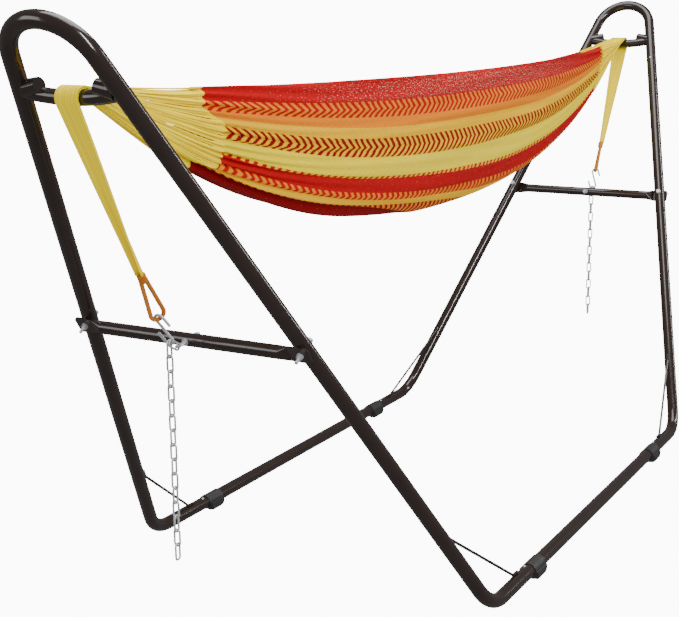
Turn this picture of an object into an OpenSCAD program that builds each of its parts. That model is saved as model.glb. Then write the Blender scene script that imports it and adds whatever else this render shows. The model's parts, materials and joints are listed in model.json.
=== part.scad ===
// Hammock on a free-standing tube stand.
// +X runs along the hammock, +Z is up, and the origin is on the floor under the middle.
// The front end is at -X and the rear end mirrors it; left is +Y and right is -Y.

/* [Stand] */
// Outside diameter of the main tubes
tube_d = 38; // [34:1:46]
// Wall of the main tubes
tube_wall = 1.6; // [1.2:0.1:2]
// Distance between the centre lines of the two base rails
rail_spacing = 1068; // [900:1:1300]
// Distance between the corner points of the front and rear end frames
corner_span = 1636; // [1300:1:2000]
// Outward lean of each end frame from the vertical, in degrees
lean = 33; // [20:1:38]
// Distance up the end frame from the rails to the centre of the arch
arch_rise = 1649; // [1300:1:2000]
// Centre-line radius of the arch
arch_r = 110; // [95:1:140]
// Centre-line radius of the bend at each bottom corner
corner_r = 125; // [90:1:160]
// Distance along a leg from its corner point to the arch joint
leg_len = 1500; // [1100:1:1520]
// Distance along a rail from the corner point to the rail joint
stub_len = 288; // [240:1:360]
// Height of the tubes' underside above the floor
foot_lift = 14; // [10:1:20]

/* [Tube joints] */
// Length of the reduced tube end inside the next tube
tenon_len = 85; // [75:1:110]
// Radial gap between a tenon and the tube around it
tenon_gap = 0.2; // [0.1:0.05:0.4]
// Diameter of a snap button
button_d = 8; // [6:0.5:10]
// Height of a snap button above the tube
button_h = 3; // [2:0.5:5]
// Distance from a joint to its snap button
button_at = 52; // [40:1:60]
// Length of a foot's collar
foot_len = 70; // [50:1:90]
// Wall of a foot's collar
foot_wall = 2.6; // [2:0.2:4]
// Width of the pad under a foot
foot_pad_w = 56; // [40:1:70]

/* [Cross bars] */
// Diameter of the saddle bar under the hammock rope
saddle_d = 32; // [26:1:36]
// Dip of the saddle bar at its middle
saddle_dip = 16; // [8:1:24]
// Distance up the end frame to the saddle bar's ends
saddle_v = 1593; // [1250:1:1700]
// Diameter of the spreader bar
spreader_d = 32; // [26:1:36]
// Distance up the end frame to the spreader bar
spreader_v = 916; // [700:1:1100]
// Thickness of the spreader bar's flattened ends
tab_t = 4.4; // [3:0.2:6]
// Height of the flattened ends
tab_h = 47; // [40:1:54]
// Diameter of the bolts that hold the spreader bars
bolt_d = 8; // [6:1:10]
// Diameter of a corner brace rod
brace_d = 8; // [6:0.5:12]
// Distance up the leg to the top of a corner brace
brace_up = 250; // [200:1:320]
// Distance along the rail to the bottom of a corner brace
brace_along = 160; // [140:1:200]

/* [Chain and hooks] */
// Wire diameter of a chain link
link_wire = 5; // [4:0.5:6]
// Inside length of a chain link
link_in = 35; // [30:1:45]
// Inside width of a chain link
link_w = 10; // [9:0.5:14]
// Rod diameter of the S-hook
hook_rod = 7; // [5:0.5:8]
// Centre-line radius of the S-hook's bends
hook_r = 12; // [10:0.5:16]
// Straight length between the S-hook's bends
hook_shank = 54; // [40:1:70]
// Wire diameter of the eye bolt's ring
eye_wire = 6; // [5:0.5:8]
// Centre-line radius of the eye bolt's ring
eye_r = 10.5; // [10:0.5:16]
// Dip of the eye bolt's axis below the level, in degrees
eye_dip = 9; // [0:1:30]

/* [Hammock] */
// Half length of the woven body
body_half = 1290; // [900:10:1400]
// Height of the woven body's lowest point
body_low = 925; // [700:5:1100]
// Height of the body's underside at its ends
body_end_low = 1188; // [1100:1:1260]
// Height of the body's edge at its middle
edge_mid = 1334; // [1300:1:1345]
// Height of the body's edge at its ends
edge_end = 1357; // [1346:1:1365]
// Half width of the body at its middle
body_half_w = 130; // [80:5:300]
// Half width of the body at its ends
end_half_w = 46; // [30:1:80]
// Thickness of the cloth solid
cloth_t = 6; // [5:1:14]
// Width of the rope ribbon over the saddle bar
ribbon_w = 58; // [40:1:80]
// Thickness of the rope ribbon over the saddle bar
ribbon_t = 7; // [5:1:10]
// Diameter of the rope in the end loops
loop_rope = 10; // [8:0.5:11]

/* [Hidden] */

round_fn = 64;
wire_fn = 24;
eps = 0.01;

steel = "#2b2220";
zinc = "silver";
plastic = "#1d1d1f";
yellow = "gold";
red = "firebrick";
rope = "peru";

// ---- places worked out from the driving sizes ----
tube_r = tube_d / 2;
bore_r = tube_r - tube_wall;
tenon_r = bore_r - tenon_gap;
rail_z = foot_lift + tube_r;
corner_x = corner_span / 2;
corner_y = rail_spacing / 2;
// angle of each leg in the plane of the end frame: its line is tangent to the arch
to_arch = sqrt(corner_y * corner_y + arch_rise * arch_rise);
spread = atan(corner_y / arch_rise) - asin(arch_r / to_arch);
tangent_len = sqrt(to_arch * to_arch - arch_r * arch_r);
// turn of the tube at the corner, and the tilt of the plane that holds leg and rail
corner_turn = acos(cos(spread) * sin(lean));
corner_tilt = atan(tan(spread) / cos(lean));
corner_set = corner_r * tan(corner_turn / 2);
rail_len = corner_span - 2 * stub_len;
// hair of room where two tubes butt
butt = 0.1;

// half distance between the legs' centre lines at height v up the frame
function leg_y(v) = corner_y - v * tan(spread);
// place of a point of the end frame's plane, off being outwards from the plane
function frame_x(v, off) = -corner_x - v * sin(lean) - off * cos(lean);
function frame_z(v, off) = rail_z + v * cos(lean) - off * sin(lean);

saddle_y = leg_y(saddle_v);
saddle_arc_r = (saddle_y * saddle_y + saddle_dip * saddle_dip) / (2 * saddle_dip);
saddle_arc = 2 * asin(saddle_y / saddle_arc_r);
saddle_flare = 1.22;
saddle_flare_len = 46;
saddle_mid_v = saddle_v - saddle_dip;
saddle_x = frame_x(saddle_mid_v, 0);
saddle_z = frame_z(saddle_mid_v, 0);

spreader_off = tube_r + tab_t / 2;
spreader_y = leg_y(spreader_v);
tab_in = spreader_y - tab_h / 2 - 4;
tab_out = spreader_y + tab_h / 2 + 1;
tab_taper = 26;
washer_t = 1.6;
washer_d = 2.1 * bolt_d;
nut_w = 1.65 * bolt_d;
nut_t = 0.8 * bolt_d;
bolt_spare = 15;
bolt_hole = bolt_d + 0.6;

// an eye bolt runs nearly level through the middle of the spreader bar
link_gap = 0.4;
link_side = (link_wire + link_gap) / 2;
eye_reach = spreader_d / 2 + washer_t + eye_r + eye_wire / 2 + 2.5;
eye_x = frame_x(spreader_v, spreader_off) - (eye_reach + eye_r) * cos(eye_dip);
eye_z = frame_z(spreader_v, spreader_off) - (eye_reach + eye_r) * sin(eye_dip);
eye_turn = 20;

// the anchor link leans from the ring to the hook
anchor_lean = 62;
anchor_span = link_in - eye_wire / 2 - hook_rod / 2 - 5 * link_gap;
hook_x = eye_x - anchor_span * sin(anchor_lean);
hook_z = eye_z + anchor_span * cos(anchor_lean);
// the tail's line from the hook to the outer side of the saddle bar
wrap_in = saddle_d / 2 + 2;
wrap_mid = wrap_in + ribbon_t / 2;
tail_gap = norm([hook_x - saddle_x, hook_z - saddle_z]);
tail_lean = atan((hook_x - saddle_x) / (saddle_z - hook_z)) + asin(wrap_mid / tail_gap);
tail_len = sqrt(tail_gap * tail_gap - wrap_mid * wrap_mid);
hook_tilt = atan(2 * hook_r / hook_shank);
hook_mid = sqrt(hook_shank * hook_shank + 4 * hook_r * hook_r) / 2;
loop_low = 2 * (hook_mid + hook_r) - hook_rod / 2 - loop_rope / 2 - 1.5;
loop_r = 16;
loop_top = loop_low + 112;
loop_twist = 30;
neck_len = 16;
neck_d = 19;

// the hanging chain, in three lengths of links, hangs in the hook beside the anchor link
chain_run = 5;
link_pitch = link_in - link_gap;
chain_top = hook_z + hook_rod / 2 + 2.5 * link_gap;

// the swing axis is along X through the ribbon on the saddle bars
arm_slope = 14.5;
pivot_z = saddle_z + wrap_mid;
arm_end = -saddle_x - wrap_in - ribbon_t - 4;

// ---- placing ----
module rear() { mirror([1, 0, 0]) children(); }
module right() { mirror([0, 1, 0]) children(); }
module both_ends() { children(); rear() children(); }
module both_sides() { children(); right() children(); }

// local X is the inward normal of the front frame and local Z runs up it
module end_plane() { translate([-corner_x, 0, rail_z]) rotate([0, -lean, 0]) children(); }
// local Z runs up the front left leg from its corner point
module leg_line() { end_plane() translate([0, corner_y, 0]) rotate([spread, 0, 0]) children(); }
// local X runs along the left rail and local Z leans with the corner's bend
module corner_plane() {
  translate([-corner_x, corner_y, rail_z]) rotate([corner_tilt, 0, 0]) children();
}
// local Z runs along the left rail from the front corner point
module rail_line() { corner_plane() rotate([0, 90, 0]) children(); }
// local Z runs up the tail from the bottom of the front hook
module tail_line() { translate([hook_x, 0, hook_z]) rotate([0, -tail_lean, 0]) children(); }

// ---- sections and rods ----
module ring(outer, inner) {
  difference() {
    circle(r = outer, $fn = round_fn);
    circle(r = inner, $fn = round_fn);
  }
}
// a snap button's hole through both tube walls, on local +X
module button_hole(at) {
  translate([tenon_r / 2, 0, at]) rotate([0, 90, 0])
    cylinder(d = button_d + 0.6, h = tube_d, $fn = round_fn);
}
module rod(a, b, d) {
  run = b - a;
  len = norm(run);
  translate(a) rotate([0, acos(run.z / len), atan2(run.y, run.x)])
    cylinder(d = d, h = len, $fn = round_fn);
}

// ---- main tubes ----
// A tube is the difference of two solids, one of the outside radius and one of the bore.
// A bend is a hair fatter than the straights that run into it, so that their faces cross.
swell = 0.02;
lap = 0.2;
over = 1;

module arch_solid(r, past_end) {
  end_plane() translate([0, 0, arch_rise]) rotate([90, 0, 90]) rotate([0, 0, spread])
    rotate_extrude(angle = 180 - 2 * spread, $fn = 96)
    translate([arch_r, 0]) circle(r = r + swell, $fn = round_fn);
  start = leg_len + butt - past_end;
  both_sides() leg_line() length_of(r, start, tangent_len + lap - start);
}
module arch() {
  color(steel) difference() {
    arch_solid(tube_r, 0);
    arch_solid(bore_r, over);
    both_sides() leg_line() button_hole(leg_len + button_at);
  }
}

// the leg's straight, its bottom bend and the stub that the rail slides into
module leg_solid(r, leg_end, stub_end) {
  leg_line() length_of(r, corner_set - lap, leg_end - corner_set + lap);
  corner_plane() translate([corner_set, 0, corner_r]) rotate([90, 0, 0])
    rotate([0, 0, -90 - corner_turn]) rotate_extrude(angle = corner_turn, $fn = 96)
    translate([corner_r, 0]) circle(r = r + swell, $fn = round_fn);
  rail_line() length_of(r, corner_set - lap, stub_end - corner_set + lap);
}
module length_of(r, from, len) { translate([0, 0, from]) cylinder(r = r, h = len, $fn = round_fn); }
module leg() {
  color(steel) difference() {
    union() {
      leg_solid(tube_r, leg_len, stub_len);
      leg_line() length_of(tenon_r, leg_len - over, tenon_len + over);
    }
    leg_solid(bore_r, leg_len - tube_wall - over, stub_len + over);
    leg_line() length_of(tenon_r - tube_wall, leg_len - 3 * over, tenon_len + 4 * over);
    leg_line() button_hole(leg_len + button_at);
    rail_line() mirror([1, 0, 0]) button_hole(stub_len - button_at);
    leg_line() translate([-tube_d, 0, spreader_v / cos(spread)]) rotate([0, 90, 0])
      cylinder(d = bolt_hole, h = 2 * tube_d, $fn = round_fn);
  }
}

module rail() {
  color(steel) rail_line() difference() {
    union() {
      length_of(tube_r, stub_len + butt / 2, rail_len - butt);
      length_of(tenon_r, stub_len - tenon_len, rail_len + 2 * tenon_len);
    }
    length_of(bore_r, stub_len + tube_wall, rail_len - 2 * tube_wall);
    length_of(tenon_r - tube_wall, stub_len - tenon_len - over, rail_len + 2 * tenon_len + 2 * over);
    mirror([1, 0, 0]) button_hole(stub_len - button_at);
    mirror([1, 0, 0]) button_hole(stub_len + rail_len + button_at);
  }
}

// ---- cross bars ----
module saddle_arc_tube(r) {
  end_plane() translate([0, 0, saddle_mid_v + saddle_arc_r]) rotate([90, 0, 90])
    rotate([0, 0, -90 - saddle_arc / 2]) rotate_extrude(angle = saddle_arc, $fn = 192)
    translate([saddle_arc_r, 0]) circle(r = r, $fn = round_fn);
}

module saddle_bar() {
  color(steel) difference() {
    union() {
      saddle_arc_tube(saddle_d / 2);
      both_sides() end_plane() translate([0, saddle_y, saddle_v]) rotate([90 - saddle_arc / 2, 0, 0])
        translate([0, 0, tube_r * 0.6])
        cylinder(d1 = saddle_d * saddle_flare, d2 = saddle_d - eps, h = saddle_flare_len, $fn = round_fn);
    }
    saddle_arc_tube(saddle_d / 2 - tube_wall);
    both_sides() leg_line() length_of(tube_r, leg_len, tangent_len - leg_len);
  }
}

module tab_outline() {
  c = 7;
  polygon([
    [tab_in, -tab_h / 2 + 2], [tab_out - c, -tab_h / 2], [tab_out, -tab_h / 2 + c],
    [tab_out, tab_h / 2 - c], [tab_out - c, tab_h / 2], [tab_in, tab_h / 2 - 2]
  ]);
}

module spreader_end() {
  difference() {
    union() {
      translate([tab_t / 2, 0, 0]) rotate([90, 0, -90]) mirror([1, 0, 0])
        linear_extrude(height = tab_t) tab_outline();
      hull() {
        translate([-tab_t / 2, tab_in - eps, -tab_h / 2 + 2]) cube([tab_t, 2 * eps, tab_h - 4]);
        translate([0, tab_in - tab_taper, 0]) rotate([-90, 0, 0])
          cylinder(d = spreader_d, h = eps, $fn = 32);
      }
    }
    translate([-tab_t, spreader_y, 0]) rotate([0, 90, 0])
      cylinder(d = bolt_hole, h = 2 * tab_t, $fn = round_fn);
  }
}

module spreader_bar() {
  color(steel) end_plane() translate([-spreader_off, 0, spreader_v]) {
    difference() {
      translate([0, tab_in - tab_taper, 0]) rotate([90, 0, 0])
        linear_extrude(height = 2 * (tab_in - tab_taper)) ring(spreader_d / 2, spreader_d / 2 - tube_wall);
      translate([0, -link_side, 0]) rotate([0, lean - eye_dip + 90, 0])
        cylinder(d = bolt_hole, h = 2 * spreader_d, center = true, $fn = round_fn);
    }
    both_sides() spreader_end();
  }
}

// a straight rod whose flattened ends are bent to lie on the leg and on the rail
module brace() {
  gap = 0.5;
  pad = 26;
  top = [-brace_up * cos(corner_turn), brace_up * sin(corner_turn)];
  side = tube_r + brace_d / 2 + gap;
  a = [top.x + side * sin(corner_turn), 0, top.y + side * cos(corner_turn)];
  b = [brace_along, 0, side];
  color(steel) corner_plane() {
    rod(a, b, brace_d);
    for (knee = [a, b]) translate(knee) sphere(d = brace_d * 1.06, $fn = round_fn);
    rod(a, a + pad * [-cos(corner_turn), 0, sin(corner_turn)], brace_d);
    rod(b, b + [pad, 0, 0], brace_d);
  }
}

// ---- feet ----
module foot() {
  pad_r = foot_pad_w / 2;
  color(plastic) difference() {
    union() {
      rail_line() length_of(tube_r + foot_wall, stub_len - foot_len / 2, foot_len);
      translate([-corner_x + stub_len, corner_y, 0]) intersection() {
        translate([0, 0, rail_z]) rotate([90, 0, 0])
          cylinder(r = rail_z, h = foot_pad_w, center = true, $fn = round_fn);
        translate([-foot_len / 2, -pad_r, 0]) cube([foot_len, foot_pad_w, rail_z]);
        translate([-foot_len, 0, rail_z]) rotate([0, 90, 0])
          cylinder(r = rail_z + 1, h = 2 * foot_len, $fn = round_fn);
      }
      translate([-corner_x + stub_len, corner_y, 0]) cylinder(r = 12, h = rail_z / 2, $fn = round_fn);
    }
    rail_line() length_of(tube_r + 0.05, stub_len - foot_len, 2 * foot_len);
  }
}

// ---- snap buttons and their leaf springs ----
button_base = tenon_r - tube_wall - 4.5;
module button(at) {
  reach = tube_r + button_h;
  translate([button_base, 0, at]) rotate([0, 90, 0]) {
    cylinder(d = button_d, h = reach - button_base - button_h / 2, $fn = round_fn);
    translate([0, 0, reach - button_base - button_h / 2])
      cylinder(d1 = button_d, d2 = button_d * 0.62, h = button_h / 2, $fn = round_fn);
    cylinder(d = button_d + 3, h = 2, $fn = round_fn);
  }
}
module arch_button() { color(zinc) leg_line() button(leg_len + button_at); }
module rail_button() { color(zinc) rail_line() mirror([1, 0, 0]) button(stub_len - button_at); }

// a V-shaped leaf: one arm lies on the tenon's far wall, the other comes back under the button
module leaf(at) {
  leaf_t = 0.8;
  leaf_w = 6;
  back = -(tenon_r - tube_wall) * 0.9;
  tip = button_base - 6;
  run = 24;
  translate([0, leaf_w / 2, at]) rotate([90, 0, 0]) linear_extrude(height = leaf_w) polygon([
    [back, -run], [back + leaf_t, -run], [back + leaf_t, run - 3], [back + 3, run - 1], [tip - leaf_t, 4],
    [tip - leaf_t, -7], [tip, -7], [tip, 4.4], [back + 3.6, run], [back, run]
  ]);
}
module button_springs() {
  color(zinc) both_ends() both_sides() {
    leg_line() leaf(leg_len + button_at);
    rail_line() mirror([1, 0, 0]) leaf(stub_len - button_at);
  }
}

// ---- spreader bolts ----
bolt_in = tube_r + washer_t;
bolt_out = tube_r + tab_t + washer_t;
module at_spreader_bolts() {
  both_ends() both_sides() end_plane() translate([0, spreader_y, spreader_v]) rotate([0, -90, 0]) children();
}
// a threaded rod is shown by its outside diameter
module bolt() {
  translate([0, 0, -bolt_in])
    cylinder(d = bolt_d, h = bolt_in + bolt_out + nut_t + bolt_spare, $fn = round_fn);
  translate([0, 0, -bolt_in - nut_t]) cylinder(d = nut_w / cos(30), h = nut_t, $fn = 6);
}
module nut(d) {
  difference() {
    cylinder(d = nut_w / cos(30), h = nut_t, $fn = 6);
    translate([0, 0, -1]) cylinder(d = d + 0.02, h = nut_t + 2, $fn = round_fn);
  }
}
module washer() {
  difference() {
    cylinder(d = washer_d, h = washer_t, $fn = round_fn);
    translate([0, 0, -1]) cylinder(d = bolt_d + 0.4, h = washer_t + 2, $fn = round_fn);
  }
}
module spreader_bolts() { color(zinc) at_spreader_bolts() bolt(); }
module spreader_nuts() { color(zinc) at_spreader_bolts() translate([0, 0, bolt_out]) nut(bolt_d); }
module spreader_washers() {
  color(zinc) at_spreader_bolts() {
    translate([0, 0, -bolt_in]) washer();
    translate([0, 0, bolt_out - washer_t]) washer();
  }
}

// ---- eye bolts ----
module at_eye() {
  end_plane() translate([-spreader_off, -link_side, spreader_v])
    rotate([0, lean - eye_dip - 90, 0]) children();
}
eye_face = spreader_d / 2;
eye_tail = eye_face + washer_t + 2 * nut_t + 8;
module eye_bolt() {
  color(zinc) at_eye() {
    translate([0, 0, -eye_tail]) cylinder(d = bolt_d, h = eye_reach - eye_r + eye_tail, $fn = round_fn);
    translate([0, 0, eye_reach]) rotate([0, 0, eye_turn]) rotate([0, 90, 0]) rotate_extrude($fn = 64)
      translate([eye_r, 0]) circle(d = eye_wire, $fn = wire_fn);
  }
}
// two nuts, locked against each other, hold the bolt on the bar's inner face
module eye_bolt_nuts() {
  color(zinc) both_ends() at_eye() for (k = [0, 1])
    translate([0, 0, -eye_face - washer_t - nut_t - k * (nut_t + 0.4)]) nut(bolt_d);
}
module eye_bolt_washers() {
  color(zinc) both_ends() at_eye() for (z = [-eye_face - washer_t, eye_face]) translate([0, 0, z]) washer();
}

// ---- chain ----
// a link about its own centre, long way on Z, lying in the local XZ plane
module link() {
  r = (link_w + link_wire) / 2;
  straight = link_in - link_w;
  for (s = [-1, 1]) {
    translate([s * r, 0, -straight / 2]) cylinder(d = link_wire, h = straight, $fn = wire_fn);
    translate([0, 0, s * straight / 2]) rotate([90, 0, 0]) rotate([0, 0, s > 0 ? 0 : 180])
      rotate_extrude(angle = 180, $fn = 48) translate([r, 0]) circle(d = link_wire, $fn = wire_fn);
  }
}
module anchor_link() {
  mid = (anchor_span + hook_rod / 2 - eye_wire / 2) / 2 + link_gap / 2;
  color(zinc) translate([eye_x, -link_side, eye_z]) rotate([0, -anchor_lean, 0])
    translate([0, 0, mid]) link();
}
// one length of the hanging chain; every second link is turned a quarter
module chain_part(part) {
  color(zinc) for (i = [0:chain_run - 1]) {
    n = part * chain_run + i;
    translate([hook_x, link_side, chain_top - link_in / 2 - n * link_pitch])
      rotate([0, 0, n % 2 == 0 ? 0 : 90]) link();
  }
}

// ---- S-hook ----
module hook() {
  arm = 24;
  color(zinc) tail_line() translate([0, 0, hook_mid + hook_r]) rotate([-hook_tilt, 0, 0])
    for (s = [0, 180]) rotate([s, 0, 0]) {
    cylinder(d = hook_rod, h = hook_shank / 2, $fn = wire_fn);
    translate([0, -hook_r, hook_shank / 2]) rotate([90, 0, 90]) rotate_extrude(angle = 180, $fn = 64)
      translate([hook_r, 0]) circle(d = hook_rod, $fn = wire_fn);
    translate([0, -2 * hook_r, hook_shank / 2 - arm]) cylinder(d = hook_rod, h = arm, $fn = wire_fn);
  }
}

// ---- hammock ----
// station x: height of the underside and of the edge, half width, and cloth thickness
function past(x) = max(0, (abs(x) - body_half) / (arm_end - body_half));
function inside(x) = min(1, abs(x) / body_half);
function low_z(x) = body_low + (body_end_low - body_low) * pow(inside(x), 2.5)
  + past(x) * (pivot_z - 7 - body_end_low);
function edge_z(x) = edge_mid + (edge_end - edge_mid) * pow(inside(x), 2)
  + past(x) * (pivot_z + 5 - edge_end);
function half_w(x) = end_half_w + (body_half_w - end_half_w) * (1 - pow(inside(x), 2.4))
  - past(x) * (end_half_w - ribbon_w / 2);
function cloth(x) = cloth_t - past(x) * (cloth_t - 5);

arc_steps = 14;
// the section is half an ellipse: down the outside from one edge to the other, and back up the inside
function section(x) = concat(
  [for (i = [0:arc_steps]) let (a = -90 + 180 * i / arc_steps)
    [x, half_w(x) * sin(a), edge_z(x) - (edge_z(x) - low_z(x)) * cos(a)]],
  [for (i = [0:arc_steps]) let (a = 90 - 180 * i / arc_steps)
    [x, (half_w(x) - cloth(x)) * sin(a), edge_z(x) - (edge_z(x) - low_z(x) - cloth(x)) * cos(a)]]
);
module trough(stations) {
  n = 2 * (arc_steps + 1);
  last = len(stations) - 1;
  points = [for (x = stations) each section(x)];
  sides = [for (s = [0:last - 1], i = [0:n - 1]) let (j = (i + 1) % n)
    [s * n + i, (s + 1) * n + i, (s + 1) * n + j, s * n + j]];
  // each end is closed by strips between the outside and the inside
  caps = [for (i = [0:arc_steps - 1]) let (o = n - 1 - i) each [
    [i, i + 1, o - 1, o],
    [last * n + o, last * n + o - 1, last * n + i + 1, last * n + i]
  ]];
  polyhedron(points = points, faces = concat(sides, caps), convexity = 6);
}
seam = 0.4;
body_steps = 24;
arm_steps = 8;
module hammock_body() {
  color(red) trough([for (i = [0:body_steps]) -body_half + 2 * body_half * i / body_steps]);
}
module arm_strings() {
  start = body_half + seam;
  color(yellow) trough([for (i = [0:arm_steps]) -arm_end + (arm_end - start) * i / arm_steps]);
}

// the ribbon over the saddle bar and the tail that narrows down to the loop
module tail_rope() {
  color(yellow) {
    translate([saddle_x, ribbon_w / 2, saddle_z]) rotate([90, 0, 0]) rotate([0, 0, 90 - arm_slope])
      rotate_extrude(angle = 90 + arm_slope + tail_lean, $fn = 96)
      translate([wrap_in, 0]) square([ribbon_t, ribbon_w]);
    tail_line() hull() {
      translate([-ribbon_t / 2, -ribbon_w / 2, tail_len - eps]) cube([ribbon_t, ribbon_w, eps]);
      translate([0, 0, loop_top + neck_len]) cylinder(d = neck_d, h = eps, $fn = 24);
    }
  }
}
// the rope loop at the end of the tail: two strands and the bight that sits in the hook
module rope_loop() {
  low = loop_low + loop_r;
  color(rope) tail_line() {
    rotate([0, 0, -loop_twist]) {
      translate([0, 0, low]) rotate([90, 0, 0]) rotate([0, 0, 176]) rotate_extrude(angle = 188, $fn = 64)
        translate([loop_r, 0]) circle(d = loop_rope + 0.3, $fn = round_fn);
      for (s = [-1, 1]) rod([s * loop_r, 0, low], [s * loop_rope * 0.56, 0, loop_top], loop_rope);
    }
    translate([0, 0, loop_top - neck_len / 2])
      cylinder(d = neck_d, h = neck_len * 1.5 - 0.4, $fn = round_fn);
  }
}

arch();  // front_arch
rear() arch();  // rear_arch
leg();  // front_left_leg
right() leg();  // front_right_leg
rear() leg();  // rear_left_leg
rear() right() leg();  // rear_right_leg
rail();  // left_rail
right() rail();  // right_rail
saddle_bar();  // front_saddle_bar
rear() saddle_bar();  // rear_saddle_bar
spreader_bar();  // front_spreader_bar
rear() spreader_bar();  // rear_spreader_bar
brace();  // front_left_brace
right() brace();  // front_right_brace
rear() brace();  // rear_left_brace
rear() right() brace();  // rear_right_brace
foot();  // front_left_foot
right() foot();  // front_right_foot
rear() foot();  // rear_left_foot
rear() right() foot();  // rear_right_foot
arch_button();  // front_left_arch_button
right() arch_button();  // front_right_arch_button
rear() arch_button();  // rear_left_arch_button
rear() right() arch_button();  // rear_right_arch_button
rail_button();  // front_left_rail_button
right() rail_button();  // front_right_rail_button
rear() rail_button();  // rear_left_rail_button
rear() right() rail_button();  // rear_right_rail_button
button_springs();
spreader_bolts();
spreader_nuts();
spreader_washers();
eye_bolt();  // front_eye_bolt
rear() eye_bolt();  // rear_eye_bolt
eye_bolt_nuts();
eye_bolt_washers();
anchor_link();  // front_anchor_link
rear() anchor_link();  // rear_anchor_link
chain_part(0);  // front_chain_upper
chain_part(1);  // front_chain_middle
chain_part(2);  // front_chain_lower
rear() chain_part(0);  // rear_chain_upper
rear() chain_part(1);  // rear_chain_middle
rear() chain_part(2);  // rear_chain_lower
hook();  // front_hook
rear() hook();  // rear_hook
hammock_body();
arm_strings();  // front_arm_strings
rear() arm_strings();  // rear_arm_strings
tail_rope();  // front_tail_rope
rear() tail_rope();  // rear_tail_rope
rope_loop();  // front_rope_loop
rear() rope_loop();  // rear_rope_loop
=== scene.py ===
import json
import math

import bpy
import numpy as np
from mathutils import Matrix, Vector


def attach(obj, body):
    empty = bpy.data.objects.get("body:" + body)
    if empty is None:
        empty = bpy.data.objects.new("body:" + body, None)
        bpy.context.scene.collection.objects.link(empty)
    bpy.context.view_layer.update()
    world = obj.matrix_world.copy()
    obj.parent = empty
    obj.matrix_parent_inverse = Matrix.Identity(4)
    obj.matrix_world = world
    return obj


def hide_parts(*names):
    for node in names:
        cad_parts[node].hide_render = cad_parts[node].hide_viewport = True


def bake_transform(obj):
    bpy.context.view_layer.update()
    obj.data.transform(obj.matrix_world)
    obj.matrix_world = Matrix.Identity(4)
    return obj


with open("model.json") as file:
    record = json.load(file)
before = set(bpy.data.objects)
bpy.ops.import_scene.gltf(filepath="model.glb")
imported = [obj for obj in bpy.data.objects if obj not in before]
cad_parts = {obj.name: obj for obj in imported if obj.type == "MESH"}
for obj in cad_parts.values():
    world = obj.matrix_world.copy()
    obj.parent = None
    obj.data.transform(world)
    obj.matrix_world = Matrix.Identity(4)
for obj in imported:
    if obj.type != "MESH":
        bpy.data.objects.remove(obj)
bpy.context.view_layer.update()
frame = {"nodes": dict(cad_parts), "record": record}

nodes = frame["nodes"]
ends = {"front": -1, "rear": 1}   # the rear end mirrors the front in X
shuffle = np.random.default_rng(11)
fullTurn = 6.2832


def smooth(t):
    t = np.clip(t, 0, 1)
    return t * t * (3 - 2 * t)


# metres, degrees and millimetres of focal length
camera = {"place": (-3.686, -1.753, 1.530), "heading": 29.95, "pitch": -13.0, "roll": -0.67,
          "lens": 70.06, "farthest": 200}


def makeCamera():
    az, up, roll = (math.radians(camera[k]) for k in ("heading", "pitch", "roll"))
    forward = Vector((math.cos(up) * math.cos(az), math.cos(up) * math.sin(az), math.sin(up)))
    right = Vector((math.sin(az), -math.cos(az), 0))
    top = right.cross(forward)
    level, upright = right, top
    right = level * math.cos(roll) + upright * math.sin(roll)
    top = upright * math.cos(roll) - level * math.sin(roll)
    data = bpy.data.cameras.new("viewCamera")
    data.lens = camera["lens"]
    data.clip_end = camera["farthest"]
    thing = bpy.data.objects.new("viewCamera", data)
    turn = Matrix((right, top, -forward)).transposed().to_4x4()
    thing.matrix_world = Matrix.Translation(camera["place"]) @ turn
    bpy.context.scene.collection.objects.link(thing)
    bpy.context.scene.camera = thing


studio = {
    "sky": 0.82, "backdrop": 11.0, "mirrored": 0.16,
    # place, point it faces, width, height, watts
    "lamps": {
        "overhead": ((0, 0, 4.6), (0, 0, 0), 4.0, 3.0, 190),
        "frontStrip": ((-2.6, -4.2, 3.6), (0, 0, 0.9), 0.25, 3.4, 230),
        "sideStrip": ((3.4, -3.6, 2.6), (0, 0, 0.9), 0.25, 3.0, 60),
        "fill": ((-4.8, 2.6, 2.4), (0, 0, 0.9), 2.2, 2.0, 45),
    },
}


def makeStudio():
    world = bpy.data.worlds.new("studio")
    bpy.context.scene.world = world
    world.use_nodes = True
    tree = world.node_tree
    tree.nodes.clear()
    # the backdrop is white to the camera and dim in the tubes' gloss, so their highlights stay narrow
    path = tree.nodes.new("ShaderNodeLightPath").outputs
    shades = []
    for level in (studio["sky"], studio["mirrored"], studio["backdrop"]):
        shade = tree.nodes.new("ShaderNodeBackground")
        shade.inputs[0].default_value = (1, 1, 1, 1)
        shade.inputs[1].default_value = level
        shades.append(shade)
    glossy, mix = (tree.nodes.new("ShaderNodeMixShader") for _ in range(2))
    out = tree.nodes.new("ShaderNodeOutputWorld")
    tree.links.new(path["Is Glossy Ray"], glossy.inputs[0])
    tree.links.new(shades[0].outputs[0], glossy.inputs[1])
    tree.links.new(shades[1].outputs[0], glossy.inputs[2])
    tree.links.new(path["Is Camera Ray"], mix.inputs[0])
    tree.links.new(glossy.outputs[0], mix.inputs[1])
    tree.links.new(shades[2].outputs[0], mix.inputs[2])
    tree.links.new(mix.outputs[0], out.inputs[0])
    for name, (place, aim, wide, tall, watts) in studio["lamps"].items():
        data = bpy.data.lights.new(name, "AREA")
        data.shape, data.size, data.size_y, data.energy = "RECTANGLE", wide, tall, watts
        lamp = bpy.data.objects.new(name, data)
        lamp.location = place
        lamp.rotation_euler = (Vector(aim) - Vector(place)).to_track_quat("-Z", "Y").to_euler()
        bpy.context.scene.collection.objects.link(lamp)


makeCamera()
makeStudio()
print("camera and light are in place")


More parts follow.
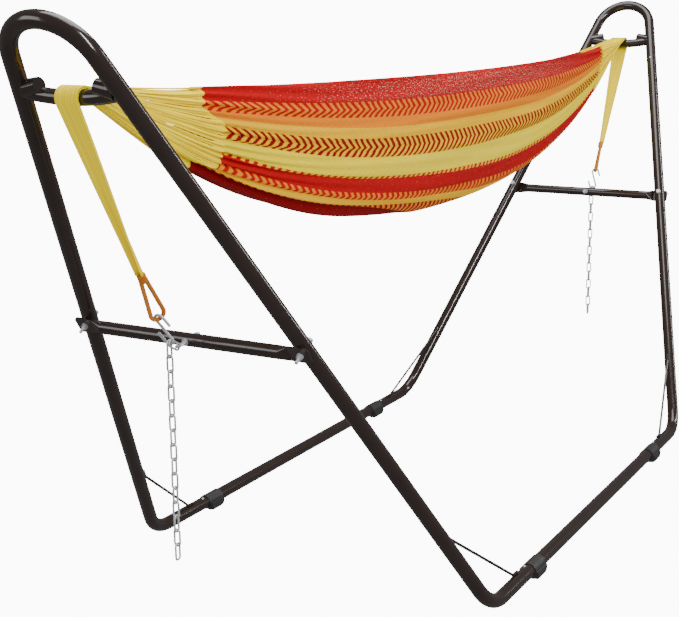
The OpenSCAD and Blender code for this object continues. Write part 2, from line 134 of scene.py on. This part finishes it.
class Graph:
    # builds nodes in one tree, where an input is a number, a colour or another node's output
    def __init__(self, tree):
        self.tree = tree

    def put(self, socket, value):
        if isinstance(value, bpy.types.NodeSocket):
            self.tree.links.new(value, socket)
        elif value is not None:
            socket.default_value = value

    def node(self, kind, inputs, **settings):
        made = self.tree.nodes.new("ShaderNode" + kind)
        for key, value in settings.items():
            setattr(made, key, value)
        for key, value in inputs.items():
            self.put(made.inputs[key], value)
        return made

    def math(self, operation, *values, clamp=False):
        made = self.node("Math", dict(enumerate(values)), operation=operation, use_clamp=clamp)
        return made.outputs[0]

    def mix(self, factor, a, b):
        made = self.tree.nodes.new("ShaderNodeMix")
        made.data_type = "RGBA"
        self.put(made.inputs[0], factor)
        self.put(made.inputs[6], a)
        self.put(made.inputs[7], b)
        return made.outputs[2]

    def noise(self, vector, scale, detail=2.0, roughness=0.5):
        inputs = {"Vector": vector, "Scale": scale, "Detail": detail, "Roughness": roughness}
        return self.node("TexNoise", inputs).outputs[0]

    def stretched(self, vector, scale):
        return self.node("Mapping", {"Vector": vector, "Scale": scale}).outputs[0]

    def ramp(self, value, stops, constant=False):
        made = self.node("ValToRGB", {"Fac": value})
        ramp = made.color_ramp
        ramp.interpolation = "CONSTANT" if constant else "LINEAR"
        while len(ramp.elements) < len(stops):
            ramp.elements.new(1.0)
        for element, (place, colour) in zip(ramp.elements, stops):
            element.position = place
            element.color = (*colour, 1) if len(colour) == 3 else colour
        return made.outputs[0]


def newMaterial(name):
    material = bpy.data.materials.new(name)
    material.use_nodes = True
    graph = Graph(material.node_tree)
    return material, graph, material.node_tree.nodes["Principled BSDF"]


def newGroup(name, inputs, outputs):
    tree = bpy.data.node_groups.new(name, "ShaderNodeTree")
    for label, kind, value in inputs:
        socket = tree.interface.new_socket(label, in_out="INPUT", socket_type="NodeSocket" + kind)
        if value is not None:
            socket.default_value = value
    for label, kind in outputs:
        tree.interface.new_socket(label, in_out="OUTPUT", socket_type="NodeSocket" + kind)
    graph = Graph(tree)
    start = tree.nodes.new("NodeGroupInput")
    finish = tree.nodes.new("NodeGroupOutput")
    return graph, start.outputs, finish.inputs


def useGroup(graph, tree, **values):
    made = graph.tree.nodes.new("ShaderNodeGroup")
    made.node_tree = tree
    for key, value in values.items():
        graph.put(made.inputs[key], value)
    return made.outputs


def bump(graph, shader, height, strength, distance):
    made = graph.node("Bump", {"Strength": strength, "Distance": distance, "Height": height})
    graph.put(shader.inputs["Normal"], made.outputs[0])


def makeGrainGroup():
    # fine grain in metres: a mask from 0 to 1 and a height from the same noise
    graph, given, out = newGroup("fineGrain", [("Vector", "Vector", None), ("Scale", "Float", 300.0),
                                               ("Low", "Float", 0.3), ("High", "Float", 0.7)],
                                 [("Mask", "Float"), ("Height", "Float")])
    broad = graph.noise(given["Vector"], 9.0, 3.0)
    fine = graph.noise(given["Vector"], given["Scale"], 3.0)
    blend = graph.math("ADD", graph.math("MULTIPLY", broad, 0.5), graph.math("MULTIPLY", fine, 0.5))
    span = graph.math("SUBTRACT", given["High"], given["Low"])
    graph.put(out["Mask"], graph.math("ADD", given["Low"], graph.math("MULTIPLY", blend, span)))
    graph.put(out["Height"], fine)
    return graph.tree


def makeStrandGroup():
    # twisted thread along U: slanting plies across V, with a slow change of tone
    graph, given, out = newGroup("twistedThread", [("Vector", "Vector", None), ("Twist", "Float", 240.0),
                                                   ("Ply", "Float", 6.0)],
                                 [("Tone", "Float"), ("Height", "Float")])
    split = graph.node("SeparateXYZ", {"Vector": given["Vector"]}).outputs
    slant = graph.math("ADD", graph.math("MULTIPLY", split[0], given["Twist"]),
                       graph.math("MULTIPLY", split[1], given["Ply"]))
    wave = graph.math("SINE", graph.math("MULTIPLY", slant, fullTurn))
    graph.put(out["Height"], wave)
    graph.put(out["Tone"], graph.noise(graph.stretched(given["Vector"], (3.0, 9.0, 1.0)), 2.0, 2.0))
    return graph.tree


fineGrain = makeGrainGroup()
twistedThread = makeStrandGroup()

# paint, zinc and plastic of the stand: two colours, roughness range, grain per metre and its relief
powderCoat = {"dark": (0.013, 0.0085, 0.008), "light": (0.024, 0.014, 0.011), "rough": (0.13, 0.24),
              "grain": 700.0, "relief": 0.03, "metallic": 0.0, "coat": 0.4}
zincPlate = {"dark": (0.42, 0.43, 0.46), "light": (0.66, 0.67, 0.69), "rough": (0.2, 0.48),
             "grain": 900.0, "relief": 0.15, "metallic": 0.55, "coat": 0.0}
footPlastic = {"dark": (0.016, 0.016, 0.017), "light": (0.035, 0.034, 0.034), "rough": (0.42, 0.6),
               "grain": 1200.0, "relief": 0.25, "metallic": 0.0, "coat": 0.0}
solidFinish = {"toneScale": 14.0, "toneDetail": 4.0, "coatRoughness": 0.08, "grainDepth": 0.0004}


def makeSolidMaterial(name, look):
    material, graph, shader = newMaterial(name)
    place = graph.node("TexCoord", {}).outputs["Object"]
    low, high = look["rough"]
    grain = useGroup(graph, fineGrain, Vector=place, Scale=look["grain"], Low=low, High=high)
    tone = graph.noise(place, solidFinish["toneScale"], solidFinish["toneDetail"])
    graph.put(shader.inputs["Base Color"], graph.mix(tone, (*look["dark"], 1), (*look["light"], 1)))
    graph.put(shader.inputs["Roughness"], grain["Mask"])
    shader.inputs["Metallic"].default_value = look["metallic"]
    shader.inputs["Coat Weight"].default_value = look["coat"]
    shader.inputs["Coat Roughness"].default_value = solidFinish["coatRoughness"]
    bump(graph, shader, grain["Height"], look["relief"], solidFinish["grainDepth"])
    return material


paintedSteel = makeSolidMaterial("paintedSteel", powderCoat)
zincSteel = makeSolidMaterial("zincSteel", zincPlate)
blackPlastic = makeSolidMaterial("blackPlastic", footPlastic)

slotMaterials = {"painted_tube": paintedSteel, "zinc_steel": zincSteel, "black_plastic": blackPlastic}
for part in frame["record"]["subparts"]:
    finish = slotMaterials.get(part["material_slot"])
    if finish:
        mesh = nodes[part["node"]].data
        mesh.materials.clear()
        mesh.materials.append(finish)
print("the stand has its paint, zinc and plastic")


def addMesh(name, points, faces, uv=None, attribute=None):
    # points: one row for each vertex; uv and attribute: values at the vertices
    mesh = bpy.data.meshes.new(name)
    mesh.from_pydata(points.tolist(), [], faces)
    mesh.shade_smooth()
    if uv is not None:
        layer = mesh.uv_layers.new(name="flat")
        corner = np.zeros(len(mesh.loops), np.int32)
        mesh.loops.foreach_get("vertex_index", corner)
        layer.data.foreach_set("uv", uv[corner].astype(np.float32).ravel())
    if attribute is not None:
        shade = mesh.attributes.new("shade", "FLOAT", "POINT")
        shade.data.foreach_set("value", attribute.astype(np.float32))
    thing = bpy.data.objects.new(name, mesh)
    bpy.context.scene.collection.objects.link(thing)
    return thing


def gridFaces(rows, columns, closed=False):
    # quads between neighbouring rows and columns; closed joins the last column to the first
    strips = columns if closed else columns - 1
    row, column = np.meshgrid(np.arange(rows - 1), np.arange(strips), indexing="ij")
    after = (column + 1) % columns
    quads = np.stack([row * columns + column, row * columns + after,
                      (row + 1) * columns + after, (row + 1) * columns + column], -1)
    return quads.reshape(-1, 4)


def ringAxes(path):
    # two unit vectors across paths of shape (strand, point, 3): ahead x a fixed vector, then ahead x that
    ahead = np.gradient(path, axis=1)
    ahead /= np.linalg.norm(ahead, axis=2, keepdims=True)
    side = np.cross(ahead, np.array([0.13, 0.98, 0.11]))
    side /= np.linalg.norm(side, axis=2, keepdims=True)
    return side, np.cross(ahead, side)


def strandMesh(name, path, radius, sides):
    # tubes along paths (strand, point, 3): centre + radius * (side cos turn + normal sin turn), ends closed
    count, steps, _ = path.shape
    side, normal = ringAxes(path)
    turn = np.linspace(0, 2 * np.pi, sides, endpoint=False)
    radius = np.broadcast_to(radius, (count, steps, sides))[..., None]
    ring = side[:, :, None] * np.cos(turn)[:, None]
    ring = ring + normal[:, :, None] * np.sin(turn)[:, None]
    points = (path[:, :, None] + ring * radius).reshape(-1, 3)
    quads = gridFaces(steps, sides, closed=True)[:, ::-1]
    block = steps * sides
    faces = (quads[None] + (np.arange(count) * block)[:, None, None]).reshape(-1, 4).tolist()
    lid = np.arange(sides)
    for k in range(count):
        faces.append((k * block + lid).tolist())
        faces.append((k * block + block - sides + lid[::-1]).tolist())
    run = np.zeros((count, steps))
    run[:, 1:] = np.cumsum(np.linalg.norm(np.diff(path, axis=1), axis=2), axis=1)
    around = np.broadcast_to(turn / (2 * np.pi), (count, steps, sides))
    uv = np.stack([np.broadcast_to(run[..., None], (count, steps, sides)), around], -1).reshape(-1, 2)
    tone = np.repeat(shuffle.random(count), block)
    return addMesh(name, points, faces, uv, tone)


# the woven body: x along it and q across it, from 0 at the right edge through 1 underneath to 2 at the left
body = {
    "halfLength": 1.345, "low": 0.925, "lowEnd": 1.188, "edge": 1.334, "edgeEnd": 1.357,
    "halfWidth": 0.130, "endHalfWidth": 0.046, "farEdgeDrop": 0.052,
    "pleat": 0.0010, "endPleat": 0.0042, "pleatCount": 13, "billow": 0.0022, "billowCount": 4.3,
    "crease": 0.007, "creaseAt": 0.345, "creaseWidth": 0.018, "creaseMiddle": 0.05, "creaseReach": 0.75,
    "fold": 0.016, "foldAt": 0.892, "foldEdge": 0.035, "foldFall": 0.13, "foldFrom": -0.69, "foldRun": 0.66,
    "edgeSway": 0.004, "edgeHold": 0.05,
    "columns": 150, "rows": 260, "endCrowding": 0.06,
    "tooth": 0.007, "recess": 0.075, "rearRecess": 0.35, "thickness": 0.0022,
    "flatWidth": 1.0, "flatLength": 2.62,
}
red, deepRed = (0.50, 0.0, 0.004), (0.28, 0.0, 0.003)
orange, golden, paleYellow = (0.90, 0.25, 0.004), (0.95, 0.52, 0.0), (1.0, 0.78, 0.0)
# start of each band across the cloth, its colour, the colour of its chevrons and their centre line
bands = [
    (0.000, red, red, 0.0), (0.150, orange, red, 0.205), (0.262, orange, orange, 0.3),
    (0.335, golden, golden, 0.37), (0.410, golden, deepRed, 0.478), (0.545, paleYellow, paleYellow, 0.6),
    (0.680, golden, red, 0.69), (0.700, red, red, 0.75), (0.800, orange, red, 0.823),
    (0.845, golden, golden, 0.87), (0.888, orange, deepRed, 0.915), (0.945, deepRed, deepRed, 0.97),
]


def foldLine(x):
    # where the lower fold begins across the cloth: lower down towards the middle, and gone past it
    return body["foldAt"] + body["foldFall"] * smooth((x - body["foldFrom"]) / body["foldRun"])


def bodyRelief(x, q, share):
    # how far the cloth stands out: fine pleats that deepen towards the ends, broad billows, and one crease
    sway = body["pleatCount"] * q + 0.6 * np.sin(3.1 * x + 5 * q)
    out = (body["pleat"] + body["endPleat"] * share ** 3) * np.sin(2 * np.pi * sway)
    wave = body["billowCount"] * q + 0.35 * np.sin(1.7 * x) + 0.15 * x
    out += body["billow"] * np.sin(2 * np.pi * wave) * (1 - 0.3 * share)
    aside = (q - body["creaseAt"] - 0.012 * np.sin(2.6 * x)) / body["creaseWidth"]
    fade = smooth((body["creaseReach"] - np.abs(x - body["creaseMiddle"])) / 0.6)
    crease = -body["crease"] * np.exp(-aside ** 2) * fade
    # the lower fold lies inside the cloth above it
    inside = smooth((q - foldLine(x)) / body["foldEdge"]) * smooth((1.04 - q) / 0.1)
    inside = inside * smooth((0.15 - x) / 0.5)
    return out + crease - body["fold"] * inside


def bodyPoint(x, q):
    # section at x: half an ellipse from the right edge (q = 0) under the bottom (q = 1) to the left (q = 2)
    # the angle has cos = q on the way down and 2 - q on the way up, and the relief adds to both half axes
    share = np.clip(np.abs(x) / body["halfLength"], 0, 1)
    low = body["low"] + (body["lowEnd"] - body["low"]) * share ** 2.5
    wide = body["endHalfWidth"] + (body["halfWidth"] - body["endHalfWidth"]) * (1 - share ** 2.4)
    edge = body["edge"] + (body["edgeEnd"] - body["edge"]) * share ** 2
    edge = edge - body["farEdgeDrop"] * smooth(q - 1) * (1 - 0.6 * share ** 3)
    angle = np.where(q < 1, -np.arccos(np.clip(q, 0, 1)), np.arccos(np.clip(2 - q, 0, 1)))
    out = bodyRelief(x, q, share)
    y = (wide + out) * np.sin(angle)
    z = edge - (edge - low + out) * np.cos(angle)
    held = smooth(np.minimum(q, 2 - q) / body["edgeHold"])
    y = y + body["edgeSway"] * np.sin(5.2 * x + 1.3) * (1 - held)
    return np.stack([x + 0 * q, y, z], -1)


def bodyEnd(q, end):
    # half the weave's length at q: it stops short in the middle of each side, less so at the rear
    right = smooth((q - 0.22) / 0.2) * smooth((0.92 - q) / 0.1)
    left = smooth((q - 1.1) / 0.15) * smooth((1.8 - q) / 0.2)
    depth = body["recess"] * (1.0 if end < 0 else body["rearRecess"])
    return body["halfLength"] - depth * (right + left)


def acrossWeave(count):
    # even steps of angle round the half ellipse, and the q of each
    angle = np.linspace(-np.pi / 2, np.pi / 2, count)
    return angle, np.where(angle < 0, np.cos(angle), 2 - np.cos(angle))


def makeBody():
    # a grid of x and q, toothed at both ends, where each third column reaches furthest
    columns = body["columns"]
    _, q = acrossWeave(columns)
    tooth = np.where(np.arange(columns) % 3 == 0, 1.0, shuffle.random(columns) * 0.5)
    share = np.linspace(0, 1, body["rows"])[:, None]
    share = share - body["endCrowding"] * np.sin(2 * np.pi * share)   # rows are closer near both ends
    start = -bodyEnd(q, -1) - body["tooth"] * tooth
    finish = bodyEnd(q, 1) + body["tooth"] * tooth
    x = start + (finish - start) * share
    across = np.broadcast_to(q, x.shape)
    uv = np.stack([x, across], -1).reshape(-1, 2)
    cloth = addMesh("wovenBody", bodyPoint(x, across).reshape(-1, 3), gridFaces(*x.shape).tolist(), uv)
    wall = cloth.modifiers.new("wall", "SOLIDIFY")
    wall.thickness = body["thickness"]
    wall.offset = -1
    return cloth


net = {
    "chevronPitch": 0.030, "chevronSlope": 0.5, "chevronEdge": 2.2, "chevronSway": 0.03, "ragged": 0.010,
    "lowerFrom": 0.6, "lowerShift": 0.11, "shiftFrom": -0.69, "shiftTo": 0.41,
    "shadow": (0.05, 0.004, 0.002, 1), "shadowShare": 0.30, "streakFrom": 0.35, "streakGain": 1.5,
    "speck": (0.90, 0.72, 0.52, 1), "speckShare": 0.55, "speckFrom": 0.72, "speckReach": 0.16,
    "speckEdge": 14.0,
    "roughness": 0.92, "specular": 0.12, "relief": 0.55, "reliefDepth": 0.003,
}
# how open the net is across the cloth
openNet = [(0.0, 0.35), (0.03, 1.0), (0.14, 1.0), (0.17, 0.15), (0.5, 0.1), (0.57, 0.9), (0.68, 0.8),
           (0.72, 0.35), (0.78, 0.3), (0.85, 0.1)]


def bandAcross(graph, place, x, q):
    # 1 - |1 - q|, less a shift of the lower bands that grows towards the rear, plus a ragged edge
    band = graph.math("SUBTRACT", 1.0, graph.math("ABSOLUTE", graph.math("SUBTRACT", 1.0, q)))
    below = graph.math("SUBTRACT", band, net["lowerFrom"])
    lower = graph.math("MULTIPLY", below, 1 / (1 - net["lowerFrom"]), clamp=True)
    span = {"Value": x, "From Min": net["shiftFrom"], "From Max": net["shiftTo"]}
    along = graph.node("MapRange", span, interpolation_type="SMOOTHSTEP").outputs[0]
    shift = graph.math("MULTIPLY", graph.math("MULTIPLY", lower, net["lowerShift"]), along)
    band = graph.math("SUBTRACT", band, shift)
    ragged = graph.noise(graph.stretched(place, (60.0, 30.0, 1.0)), 3.0, 2.0)
    uneven = graph.math("MULTIPLY", graph.math("SUBTRACT", ragged, 0.5), net["ragged"])
    return graph.math("ADD", band, uneven)


def chevronMask(graph, place, x, band, centre):
    # a wave in x + slope * distance from the band's centre line, sharpened to stripes
    away = graph.math("ABSOLUTE", graph.math("SUBTRACT", band, centre))
    wander = graph.noise(graph.stretched(place, (4.0, 2.0, 1.0)), 2.0)
    run = graph.math("ADD", x, graph.math("MULTIPLY", wander, net["chevronSway"]))
    run = graph.math("ADD", run, graph.math("MULTIPLY", away, net["chevronSlope"]))
    phase = graph.math("DIVIDE", run, net["chevronPitch"])
    wave = graph.math("SINE", graph.math("MULTIPLY", phase, fullTurn))
    return graph.math("ADD", 0.5, graph.math("MULTIPLY", wave, net["chevronEdge"]), clamp=True)


def speckMask(graph, place, x, band):
    # small gaps where a fine noise passes a level, which is lower where the net is open, away from the ends
    mesh = graph.noise(graph.stretched(place, (95.0, 75.0, 1.0)), 1.5, 2.0, 0.7)
    openness = graph.ramp(band, [(start, (level,) * 3) for start, level in openNet])
    share = graph.math("ABSOLUTE", graph.math("DIVIDE", x, 1.3))
    middle = graph.math("SUBTRACT", 1.0, graph.math("POWER", share, 3.0), clamp=True)
    drop = graph.math("MULTIPLY", graph.math("MULTIPLY", openness, middle), -net["speckReach"])
    above = graph.math("SUBTRACT", mesh, graph.math("ADD", net["speckFrom"], drop))
    return graph.math("MULTIPLY", above, net["speckEdge"], clamp=True)


def makeWeaveMaterial():
    material, graph, shader = newMaterial("stripedNet")
    place = graph.node("UVMap", {}, uv_map="flat").outputs[0]
    x, q, _ = graph.node("SeparateXYZ", {"Vector": place}).outputs
    band = bandAcross(graph, place, x, q)
    base = graph.ramp(band, [(start, colour) for start, colour, _, _ in bands], True)
    line = graph.ramp(band, [(start, colour) for start, _, colour, _ in bands], True)
    centre = graph.ramp(band, [(start, (middle,) * 3) for start, _, _, middle in bands], True)
    chevron = chevronMask(graph, place, x, band, centre)
    colour = graph.mix(chevron, base, line)
    # lengthwise cords, with shadow between them, then pale specks where the net is open
    streak = graph.noise(graph.stretched(place, (5.0, 190.0, 1.0)), 1.6, 4.0, 0.65)
    lit = graph.math("SUBTRACT", streak, net["streakFrom"])
    lit = graph.math("MULTIPLY", lit, net["streakGain"], clamp=True)
    colour = graph.mix(lit, graph.mix(net["shadowShare"], colour, net["shadow"]), colour)
    speck = graph.math("MULTIPLY", speckMask(graph, place, x, band), net["speckShare"])
    graph.put(shader.inputs["Base Color"], graph.mix(speck, colour, net["speck"]))
    shader.inputs["Roughness"].default_value = net["roughness"]
    shader.inputs["Specular IOR Level"].default_value = net["specular"]
    ridges = graph.math("ADD", graph.math("MULTIPLY", streak, 0.8), graph.math("MULTIPLY", chevron, 0.35))
    weft = graph.noise(graph.stretched(place, (260.0, 120.0, 1.0)), 1.5, 2.0)
    height = graph.math("ADD", ridges, graph.math("MULTIPLY", weft, 0.5))
    bump(graph, shader, height, net["relief"], net["reliefDepth"])
    return material


weave = makeBody()
weave.data.materials.append(makeWeaveMaterial())
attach(weave, "hammock")
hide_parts("hammock_body")
print("the woven body hangs")


# cords between the weave and the saddle bar, the tails and the wound loops, with the front end's places
rope = {
    "saddle": (-1.6769, 0.0, 1.3556),   # middle of the saddle bar
    "hook": (-1.4016, 0.0, 0.7952),   # bottom of the hook's rod
    "ribbon": 0.058, "ribbonThick": 0.007, "saddleGap": 0.018, "armSlope": 14.5,
    "armCords": 250, "armCord": 0.0019, "armSides": 5, "armSteps": 14, "armIn": 0.030, "armSag": 0.006,
    "armStray": 0.003,
    "tailCords": 54, "tailCord": 0.0021, "tailSides": 6, "neck": 0.0085, "neckGap": 0.010,
    "loopRadius": 0.005, "loopBend": 0.016, "loopTwist": 30.0, "loopHeight": 0.112, "loopLow": 0.0731,
    "winding": 0.0024, "ridge": 0.055, "collar": 0.0098, "collarLength": 0.020, "collarSink": 0.008,
}


def tailFrame():
    # along the tail from the hook up to where it meets the wrap round the bar
    hook = np.array(rope["hook"])
    gap = hook - np.array(rope["saddle"])
    wrap = rope["saddleGap"] + rope["ribbonThick"] / 2
    lean = math.atan(gap[0] / -gap[2]) + math.asin(wrap / np.linalg.norm(gap))
    up = np.array([-math.sin(lean), 0.0, math.cos(lean)])
    across = np.array([math.cos(lean), 0.0, math.sin(lean)])
    return hook, up, across, lean


def armPaths(end):
    # one cubic curve for each cord, from inside the weave's edge along the weave to its place over the bar
    count = rope["armCords"]
    angle, q = acrossWeave(count)
    startX = (bodyEnd(q, end) - rope["armIn"]) * end
    weaveEnd = bodyPoint(startX, q)
    beforeEnd = bodyPoint(startX - 0.05 * end, q)
    order = (angle + shuffle.uniform(-0.25, 0.25, count)) / np.pi
    layer = shuffle.uniform(-0.5, 0.5, count) * rope["ribbonThick"] * 0.7
    slope = math.radians(rope["armSlope"])
    reach = rope["saddleGap"] + rope["ribbonThick"] / 2
    barX, _, barZ = rope["saddle"]
    ribbonX = np.full(count, -(barX + reach * math.sin(slope)) * end)
    ribbonY = np.clip(order, -0.5, 0.5) * rope["ribbon"] * 0.94
    ribbon = np.stack([ribbonX, ribbonY, barZ + reach * math.cos(slope) + layer], -1)
    lead = weaveEnd + (weaveEnd - beforeEnd) * 0.6
    t = np.linspace(0, 1, rope["armSteps"])[None, :, None]
    path = weaveEnd[:, None] * (1 - t) ** 3 + 3 * lead[:, None] * t * (1 - t) ** 2
    path = path + 3 * (lead * 0.5 + ribbon * 0.5)[:, None] * t ** 2 * (1 - t) + ribbon[:, None] * t ** 3
    belly = np.sin(np.pi * t[..., 0])
    path[..., 2] -= rope["armSag"] * shuffle.random(count)[:, None] * belly
    path[..., 1] += rope["armStray"] * shuffle.uniform(-1, 1, count)[:, None] * belly
    return path


def tailPaths(end):
    # cords lie side by side in two layers round the bar, then run down and gather in a ring at the neck
    barX, _, barZ = rope["saddle"]
    hook, up, _, lean = tailFrame()
    count, wrapSteps, downSteps = rope["tailCords"], 14, 22
    place = np.linspace(-0.5, 0.5, count)
    outer = np.arange(count) % 2 == 0
    radius = rope["saddleGap"] + rope["ribbonThick"] * (0.5 + np.where(outer, 0.28, -0.28))
    wrap = np.linspace(math.radians(90 - rope["armSlope"]) - 0.02, math.pi + lean, wrapSteps)
    aside = np.broadcast_to(place[:, None] * rope["ribbon"] * 0.95, (count, wrapSteps))
    reach = radius[:, None]
    over = np.stack([barX + reach * np.cos(wrap), aside, barZ + reach * np.sin(wrap)], -1)
    top = over[:, -1]
    turn = place * 2 * np.pi * 0.97 + np.pi / 2
    share = np.sqrt(np.where(outer, 0.85, 0.3)) * rope["neck"]
    ring = np.stack([share * np.sin(turn) * 0.9, share * np.sin(place * np.pi), 0 * place], -1)
    bottom = hook + up * (rope["loopLow"] + rope["loopHeight"] + rope["neckGap"]) + ring
    t = np.linspace(0, 1, downSteps)[1:][None, :, None]
    narrow = smooth(t * 0.9) * 0.35 + t * 0.65
    down = top[:, None] + (bottom - top)[:, None] * np.concatenate([t, narrow, t], -1)
    path = np.concatenate([over, down], 1)
    path[..., 0] *= -end
    return path


def loopPath(end):
    # from the collar down one side, round the bight that sits in the hook, and up the other side
    hook, up, across, _ = tailFrame()
    twist = math.radians(rope["loopTwist"])
    side = across * math.cos(twist) - np.array([0.0, 1.0, 0.0]) * math.sin(twist)
    bend = rope["loopBend"]
    low, tall = rope["loopLow"] + bend, rope["loopLow"] + rope["loopHeight"]
    t = np.linspace(0, 1, 200)[:, None]
    near = rope["loopRadius"] * 1.12
    left = np.hstack([-near + (near - bend) * t, tall + (low - tall) * t])
    turn = np.pi + np.pi * t
    bight = np.hstack([bend * np.cos(turn), low + bend * np.sin(turn)])
    right = np.hstack([bend + (near - bend) * t, low + (tall - low) * t])
    flat = np.vstack([left, bight[1:], right[1:]])
    length = np.concatenate([[0], np.cumsum(np.linalg.norm(np.diff(flat, axis=0), axis=1))])
    even = np.linspace(0, length[-1], int(length[-1] / rope["winding"] * 5))
    flat = np.stack([np.interp(even, length, flat[:, k]) for k in (0, 1)], -1)
    path = hook + side * flat[:, :1] + up * flat[:, 1:]
    path[:, 0] *= -end
    return path[None]


def collarPath(end):
    # a straight run up the neck, above the loop's top
    hook, up, _, _ = tailFrame()
    steps = int(rope["collarLength"] / rope["winding"] * 6)
    rise = np.linspace(0, rope["collarLength"], steps)[:, None]
    path = hook + up * (rope["loopLow"] + rope["loopHeight"] - rope["collarSink"] + rise)
    path[:, 0] *= -end
    return path[None]


def windingRadius(path, sides, radius, spacing):
    # the cord's ridges climb round the rope: radius * (1 - ridge + 2 ridge |sin(half the phase)|)
    turn = np.linspace(0, 2 * np.pi, sides, endpoint=False)
    phase = 2 * np.pi * np.arange(path.shape[1])[:, None] * spacing / rope["winding"] - turn[None]
    return radius * (1 - rope["ridge"] + 2 * rope["ridge"] * np.abs(np.sin(phase / 2)))[None]


# colour of each cord and a darker shadow colour, used both for strands of a darker tone at random and for
# painted shade in the twist's grooves; twists per metre and across, relief
cotton = {"colour": (1.0, 0.86, 0.0), "shadow": (0.86, 0.58, 0.0), "twist": 330.0,
          "ply": 2.0, "relief": 0.5}
wound = {"colour": (0.72, 0.26, 0.035), "shadow": (0.26, 0.065, 0.010), "twist": 1 / rope["winding"],
         "ply": -1.0, "relief": 0.4}


def makeCordMaterial(name, look):
    material, graph, shader = newMaterial(name)
    colour, shadow = (*look["colour"], 1), (*look["shadow"], 1)
    place = graph.node("UVMap", {}, uv_map="flat").outputs[0]
    thread = useGroup(graph, twistedThread, Vector=place, Twist=look["twist"], Ply=look["ply"])
    shade = graph.node("Attribute", {}, attribute_name="shade").outputs["Fac"]
    own, slow = graph.math("MULTIPLY", shade, 0.75), graph.math("MULTIPLY", thread["Tone"], 0.35)
    tone = graph.math("ADD", own, slow, clamp=True)
    # painted shade: the grooves of the twist darken the cord towards its shadow colour, as well as driving
    # the bump
    groove = graph.math("MULTIPLY", graph.math("ADD", thread["Height"], 1.0), 0.5)
    lit = graph.math("ADD", 0.7, graph.math("MULTIPLY", groove, 0.3))
    graph.put(shader.inputs["Base Color"], graph.mix(lit, shadow, graph.mix(tone, shadow, colour)))
    shader.inputs["Roughness"].default_value = 0.85
    shader.inputs["Specular IOR Level"].default_value = 0.15
    bump(graph, shader, groove, look["relief"], 0.0006)
    return material


yellowCotton = makeCordMaterial("yellowCotton", cotton)
woundCotton = makeCordMaterial("woundCotton", wound)

for label, end in ends.items():
    arms = strandMesh(label + "ArmCords", armPaths(end), rope["armCord"], rope["armSides"])
    arms.data.materials.append(yellowCotton)
    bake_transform(arms)
    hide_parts(label + "_arm_strings")

    tail = strandMesh(label + "TailCords", tailPaths(end), rope["tailCord"], rope["tailSides"])
    tail.data.materials.append(yellowCotton)
    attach(tail, "stand")
    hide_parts(label + "_tail_rope")

    path = loopPath(end)
    radius = windingRadius(path, 20, rope["loopRadius"], rope["winding"] / 5)
    loop = strandMesh(label + "WoundLoop", path, radius, 20)
    loop.data.materials.append(woundCotton)
    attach(loop, "stand")
    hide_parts(label + "_rope_loop")

    path = collarPath(end)
    radius = windingRadius(path, 24, rope["collar"], rope["winding"] / 6)
    collar = strandMesh(label + "NeckCollar", path, radius, 24)
    collar.data.materials.append(woundCotton)
    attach(collar, "stand")
print("cords, tails and wound loops are in place")
